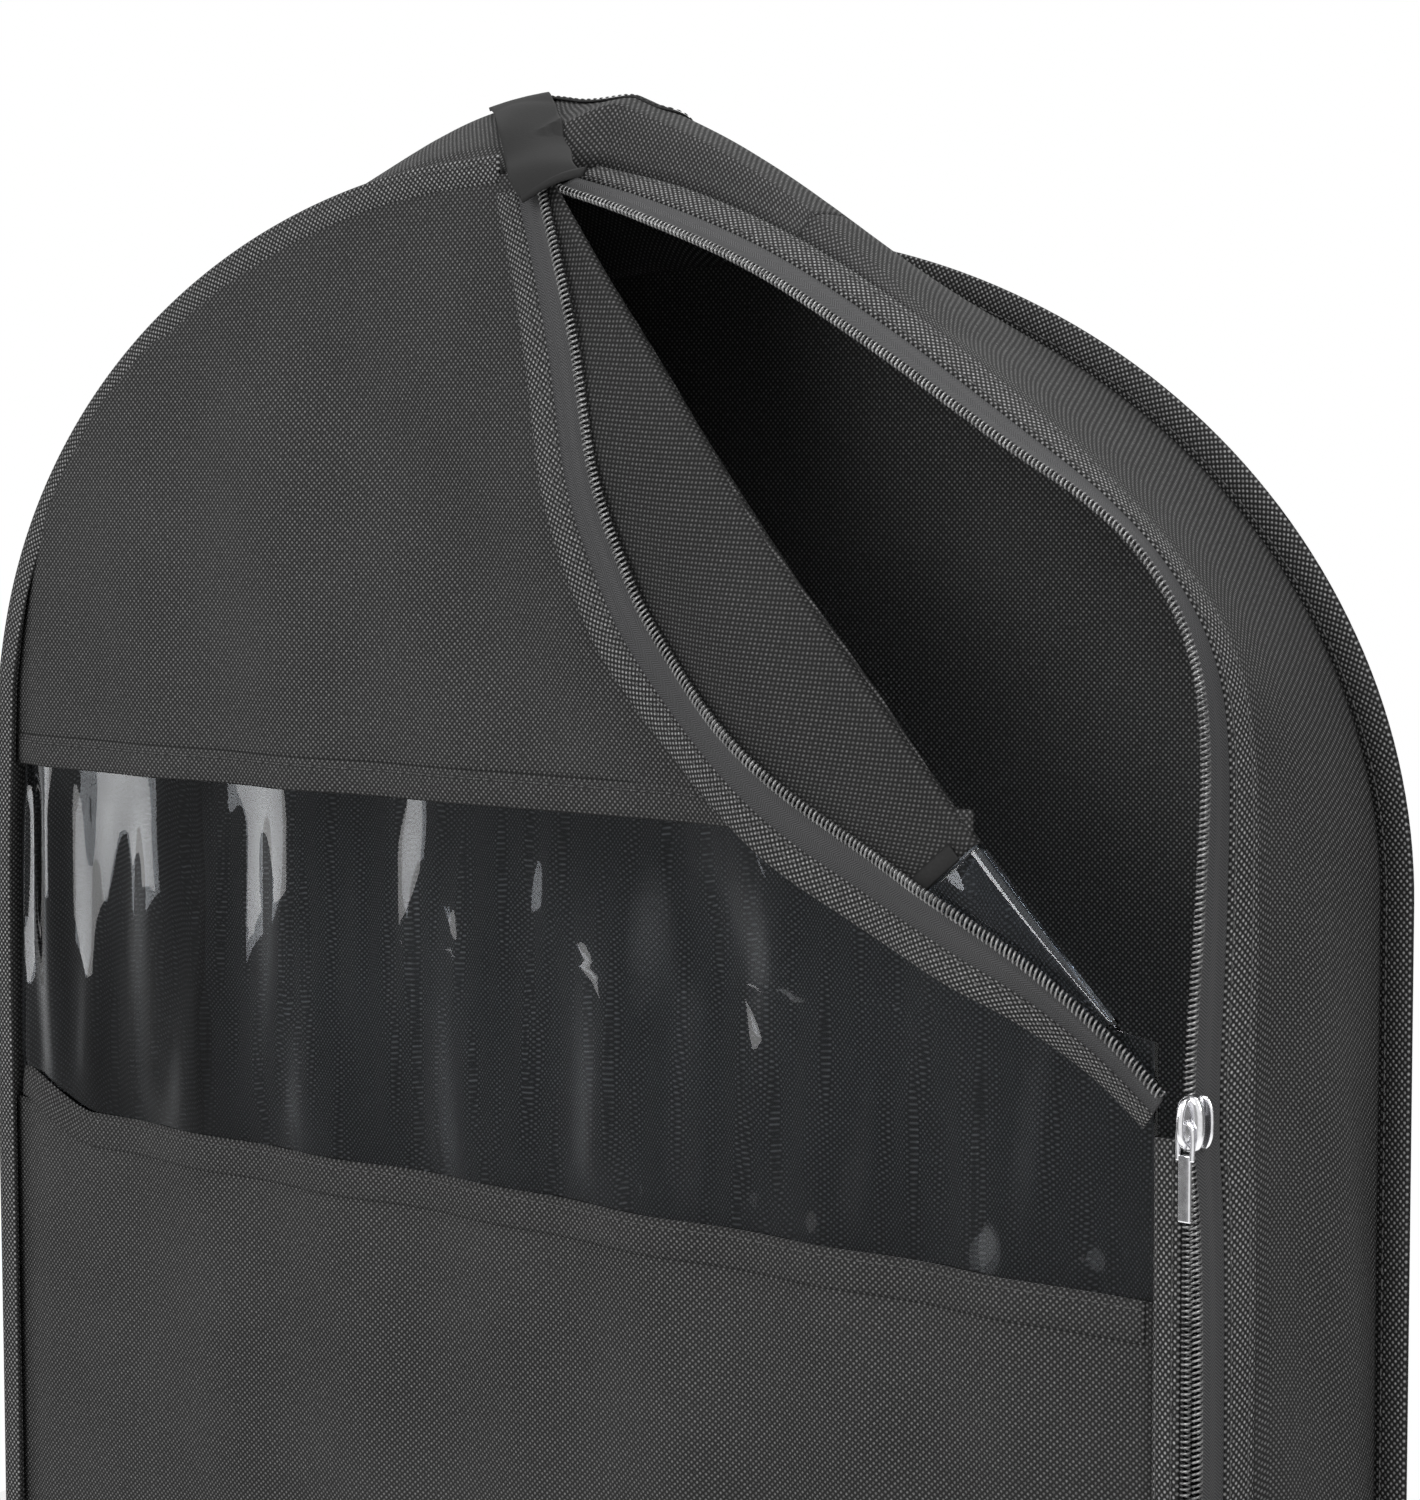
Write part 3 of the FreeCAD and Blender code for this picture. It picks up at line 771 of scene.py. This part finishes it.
def build_front_zip():
    z = np.linspace(SLIDER_Z - 6, ZIP_FOOT, 200)
    x = np.full(200, SLIDER_X - 2.2)
    path = np.stack([x, np.full(200, FRONT_Y + 0.5), z], axis=1)
    side = np.tile([1.0, 0.0, 0.0], (200, 1))
    up = np.tile([0.0, -1.0, 0.0], (200, 1))
    coil("front_zip_coil_wire", path, side, up, "bag", "front_zip_coil")
    made = sweep("front_zip_tape_band", path, side, up, band_section(-12.0, -1.0, 0.5, -0.3, 0.1), TAPE)
    place(made, "bag", "zip_tape", "front_zip_tape")
    made = sweep("front_zip_hem_band", path, side, up, band_section(-12.5, -1.9, 1.0, 0.6), HEM)
    place(made, "bag", "binding", "front_zip_hem")
    stitches("front_zip_stitches", path + side * -4.4 + up * 2.0, up, THREAD, "bag")
    stitches("front_zip_inner_stitches", path + side * -10.6 + up * 1.9, up, THREAD, "bag")


# ---------------------------------------------------------------- folded-open flap
STRIP = 24.0
# (station along the fold, how far the turned-back edge reaches across)
REACH = smooth_curve([(-12, 17), (0, 24), (46, 40), (94, 67), (130, 80), (157, 85.5), (190, 85),
                      (227, 79), (262, 70), (296, 57), (330, 41), (360, 27), (390, 17), (FOLD_RUN, 12)], 200)
SEAM_STATION = 306.0
# Radii of the fold and of the turned-back edge, and the width turned in behind the edge.
ROLL = 3.2
BEND = 2.2
TURN_IN = 9.0


def flap_reach(station):
    return np.interp(station, REACH[:, 0], REACH[:, 1])


def flap_place(station, reach, out):
    """Point at a distance across from the fold line, standing out from the front."""
    x = FOLD_START[0] + ALONG[0] * station + ACROSS[0] * reach
    z = FOLD_START[1] + ALONG[1] * station + ACROSS[1] * reach
    base = FRONT_Y - front_bulge(x, z) * step(reach, 4, 40)
    return np.stack([x, base - out, z], axis=-1)


def flap_lift(station):
    """The folded layers lie close to the front at both ends of the fold, and stand off between."""
    return (0.25 + 0.75 * step(station, -12, 55)) * (1 - 0.70 * step(station, FOLD_RUN - 95, FOLD_RUN))


def flap_section(station, count_in=34):
    """(reach, out) from the front panel, round the fold, down to the turned-back edge and round it."""
    edge = float(flap_reach(station))
    start = float(sag(station))
    turn = [(start - ROLL * math.sin(a), ROLL - ROLL * math.cos(a)) for a in np.linspace(0, math.pi, 10)]
    span = edge - BEND - start
    t = np.linspace(0, 1, count_in)[1:]
    billow = min(1.0, span / 60.0) * 3.2
    middle = [(start + span * k, 2 * ROLL - 1.6 * k + billow * math.sin(math.pi * k) ** 1.3) for k in t]
    low = middle[-1][1]
    bend = [(edge - BEND + BEND * math.sin(a), low + BEND - BEND * math.cos(a))
            for a in np.linspace(0, math.pi, 8)[1:]]
    back = [(edge - BEND - k, low + 2 * BEND) for k in (3.0, 6.0, TURN_IN)]
    section = np.array(turn + middle + bend + back)
    section[:, 1] = section[:, 1] * float(flap_lift(np.array(station))) + 0.5
    return section


def build_flap():
    # The flap's cloth takes the darker fabric copy that paints shade on its inner face.
    for name, first, last, rows, material, thick, slot, node in (
            ("flap_fabric", 6.0, SEAM_STATION, 120, SHADED_INNER, 0.6, "nonwoven", "flap_panel"),
            ("flap_film", SEAM_STATION, FOLD_RUN - 34, 46, FILM, 0.3, "clear_film", "flap_window_film")):
        grid = []
        for station in np.linspace(first, last, rows):
            section = flap_section(station)
            grid.append(flap_place(np.full(len(section), station), section[:, 0], section[:, 1]))
        points = np.stack(grid)
        if material is SHADED_INNER:
            wave = 0.8 * np.sin(points[..., 2] / 17.0 + points[..., 0] / 29.0)
            points[..., 1] -= wave * step(-points[..., 1], 57, 60)
        made = cloth(name, points, grid_uv(points), material, thick)
        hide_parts(node)
        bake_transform(made)
    station = np.linspace(-9.0, FOLD_RUN - 2, 320)
    edge = flap_reach(station) - 0.2
    out = (2 * ROLL - 1.6 + 4.4 + 0.5) * flap_lift(station) + 0.9
    path = flap_place(station, edge, out)
    inner = flap_place(station, edge - 10, out)
    side = unit(inner - path)
    up = unit(np.cross(tangents(path), side))
    up *= np.where(up[:, 1:2] < 0, 1.0, -1.0)
    side = unit(np.cross(up, tangents(path)))
    side *= np.sign(np.sum(side * (inner - path), axis=1))[:, None]
    side = side * (1 - 0.46 * step(station, FOLD_RUN - 120, FOLD_RUN))[:, None]
    made = sweep("flap_hem_band", path, side, up, band_section(-0.6, 11.5, 1.0), HEM)
    place(made, "flap", "binding", "flap_hem")
    made = sweep("flap_zip_tape_band", path, side, up, band_section(10.0, 22.6, 0.5, 0.1, 0.1), TAPE)
    place(made, "flap", "zip_tape", "flap_zip_tape")
    stitches("flap_hem_stitches", path + side * 10.0 + up * 1.3, up, THREAD, "flap")
    stitches("flap_edge_stitches", path + side * 6.4 + up * 1.5, up, THREAD, "flap")
    section = flap_section(SEAM_STATION)[12:36]
    seam = resample(flap_place(np.full(len(section), SEAM_STATION), section[:, 0], section[:, 1] + 0.4), 40)
    beside = np.tile([ALONG[0], 0.0, ALONG[1]], (40, 1))
    out = unit(np.cross(tangents(seam), beside))
    out *= np.where(out[:, 1:2] < 0, 1.0, -1.0)
    made = sweep("flap_window_seam", seam, beside, out, band_section(-6.5, 0.6, 0.6), TAB)
    place(made, "flap", "binding")
    coil("flap_zip_coil_wire", path + side * STRIP + up * 0.6, side, up, "flap", "flap_zip_coil")


# ---------------------------------------------------------------- slider and pull
def rounded_block(name, rings, material, segments=28):
    """Closed oval body: each ring is (depth y, half width, half height, centre z)."""
    verts, faces = [], []
    angles = np.linspace(0, 2 * math.pi, segments, endpoint=False)
    for y, wide, tall, centre in rings:
        for a in angles:
            c, s = math.cos(a), math.sin(a)
            shape = 2.6
            x = SLIDER_X + wide * math.copysign(abs(c) ** (2 / shape), c)
            z = centre + tall * math.copysign(abs(s) ** (2 / shape), s)
            verts.append((x, y, z))
    for i in range(len(rings) - 1):
        for j in range(segments):
            k = (j + 1) % segments
            faces.append((i * segments + j, i * segments + k, (i + 1) * segments + k, (i + 1) * segments + j))
    faces.append(tuple(range(segments))[::-1])
    faces.append(tuple((len(rings) - 1) * segments + j for j in range(segments)))
    verts = np.array(verts)
    return mesh_object(name, verts, faces, verts[:, [0, 2]] * MM, material)


def tube(name, points, radius, material, sides, count):
    """Round bar along a smooth path."""
    path = smooth_curve(points, count)
    along = tangents(path)
    first = unit(np.cross(along, np.tile([0.31, 0.9, 0.29], (count, 1))))
    second = np.cross(along, first)
    turns = np.linspace(0, 2 * math.pi, sides, endpoint=False)
    ring = [(radius * math.cos(a), radius * math.sin(a)) for a in turns]
    return sweep(name, path, first, second, ring, material)


def build_slider():
    z = SLIDER_Z
    # Each ring is (y, half width, half height, middle z).
    front_rings = [(-52.5, 4.2, 8.2, z), (-52.6, 5.0, 9.0, z), (-53.6, 5.3, 9.2, z), (-54.6, 4.9, 8.7, z),
                   (-55.0, 3.8, 7.6, z)]
    rear_rings = [(-47.3, 4.0, 8.0, z), (-47.6, 4.9, 8.8, z), (-48.5, 4.9, 8.8, z), (-48.7, 4.2, 8.0, z)]
    post_rings = [(-52.6, 0.5, 3.0, z + 5), (-48.6, 0.5, 3.0, z + 5)]
    front = rounded_block("slider_front_shell", front_rings, CHROME)
    rear = rounded_block("slider_rear_shell", rear_rings, CHROME)
    post = rounded_block("slider_wedge_post", post_rings, CHROME, 16)
    place(front, "slider", "slider_metal", "slider_body")
    place(rear, "slider", "slider_metal")
    place(post, "slider", "slider_metal")
    arch_side = [(-54.2, 7.6), (-57.2, 6.6), (-58.6, 3.0), (-58.8, -1.0), (-58.2, -4.6), (-55.8, -6.8),
                 (-54.3, -7.2)]
    arch = [(SLIDER_X, y, z + rise) for y, rise in arch_side]
    bridge = tube("slider_bridge_arch", arch, 1.25, CHROME, 12, 40)
    place(bridge, "slider", "slider_metal", "slider_bridge")
    pin_y = -56.1
    loop_half = [(2.7, -11.4), (2.9, -6.0), (2.6, -1.4), (1.2, 0.4)]
    loop = [(SLIDER_X - wide, pin_y, z + rise) for wide, rise in loop_half]
    loop += [(SLIDER_X + wide, pin_y, z + rise) for wide, rise in loop_half[::-1]]
    ring = tube("pull_loop", loop, 0.85, CHROME, 10, 60)
    place(ring, "pull", "slider_metal", "pull_tab")
    shape = [(-1.2, 2.9), (-0.9, 3.6), (0.9, 3.6), (1.2, 2.9), (1.2, -2.9), (0.9, -3.6), (-0.9, -3.6),
             (-1.2, -2.9)]
    path = np.array([(SLIDER_X, pin_y, z - k) for k in (9.6, 10.2, 12, 16, 20, 24, 28, 30.2, 30.9)])
    side = np.tile([0.0, 1.0, 0.0], (len(path), 1))
    across = np.tile([1.0, 0.0, 0.0], (len(path), 1))
    leaf = sweep("pull_leaf", path, side, across, [(a * 0.6, b * 0.66) for a, b in shape], CHROME)
    bevel = leaf.modifiers.new("soft edges", "BEVEL")
    bevel.width = 0.35 * MM
    bevel.segments = 3
    place(leaf, "pull", "slider_metal")


def block(name, low, high, material, bevel):
    lo, hi = np.array(low, float), np.array(high, float)
    verts = [[(lo, hi)[i][0], (lo, hi)[j][1], (lo, hi)[k][2]] for i in (0, 1) for j in (0, 1) for k in (0, 1)]
    faces = [(0, 1, 3, 2), (4, 6, 7, 5), (0, 4, 5, 1), (2, 3, 7, 6), (0, 2, 6, 4), (1, 5, 7, 3)]
    made = mesh_object(name, verts, faces, np.array(verts)[:, [0, 2]] * MM, material)
    edge = made.modifiers.new("rounded", "BEVEL")
    edge.width = bevel * MM
    edge.segments = 4
    return made


def build_stops():
    for node in ("zip_top_stop", "zip_bottom_stop"):
        low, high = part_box(node)
        made = block(node + "_moulded", low / MM, high / MM, COIL, 0.9)
        place(made, "bag", "zip_stop", node)


# ---------------------------------------------------------------- studio
def aim(obj, target):
    direction = np.array(target) - np.array(obj.location)
    obj.rotation_euler = Vector(direction).to_track_quat("-Z", "Y").to_euler()


def area_light(name, at, target, size, power, colour=(1, 1, 1)):
    data = bpy.data.lights.new(name, "AREA")
    data.shape = "RECTANGLE"
    data.size, data.size_y = size
    data.energy = power
    data.color = colour
    light = bpy.data.objects.new(name, data)
    bpy.context.scene.collection.objects.link(light)
    light.location = at
    aim(light, target)


def build_studio():
    span = 2.2
    verts = np.array([(-span, -span, -1.16), (span, -span, -1.16), (span, span, -1.16), (-span, span, -1.16)])
    floor = mesh_object("studio_floor", verts / MM, [(0, 1, 2, 3)], verts[:, :2], studio_floor())
    world = bpy.data.worlds.new("studio_world")
    bpy.context.scene.world = world
    world.use_nodes = True
    nodes, links = world.node_tree.nodes, world.node_tree.links
    place_node = nodes.new("ShaderNodeTexCoord")
    split = nodes.new("ShaderNodeSeparateXYZ")
    links.new(place_node.outputs["Generated"], split.inputs[0])
    product = math_node(nodes, links, "MULTIPLY", split.outputs["X"], split.outputs["Y"])
    shifted = math_node(nodes, links, "MULTIPLY_ADD", product, -1.0, 0.5)
    colour = ramp(nodes, links, shifted, [(0.12, grey(0.22)), (0.62, grey(1.0))])
    links.new(colour, nodes["Background"].inputs["Color"])
    nodes["Background"].inputs["Strength"].default_value = 1.0
    area_light("key_softbox", (-0.4, -2.0, 0.9), (0, 0, -0.25), (1.2, 1.6), 50)
    area_light("left_strip", (-2.1, -1.0, 0.2), (0, 0, -0.3), (0.6, 1.6), 8)
    area_light("right_softbox", (2.0, -0.3, 0.9), (0.2, 0, -0.3), (0.8, 1.6), 34)
    area_light("top_softbox", (0.2, 0.5, 1.7), (0, 0, -0.1), (1.4, 0.8), 26)
    camera_data = bpy.data.cameras.new("camera")
    camera = bpy.data.objects.new("camera", camera_data)
    bpy.context.scene.collection.objects.link(camera)
    camera.location = (1.071, -1.071, -0.127)
    camera_data.sensor_width = 36.0
    camera_data.lens = 98.0
    camera_data.clip_start = 0.05
    camera.rotation_euler = (math.radians(90.0 - 4.20), 0.0, math.radians(45.0 - 1.29))
    bpy.context.scene.camera = camera
    bpy.context.scene.view_settings.view_transform = "Standard"


build_front()
build_front_hems()
build_gussets()
build_back()
build_slot_and_tab()
build_gusset_zip()
build_front_zip()
build_flap()
build_slider()
build_stops()
build_studio()
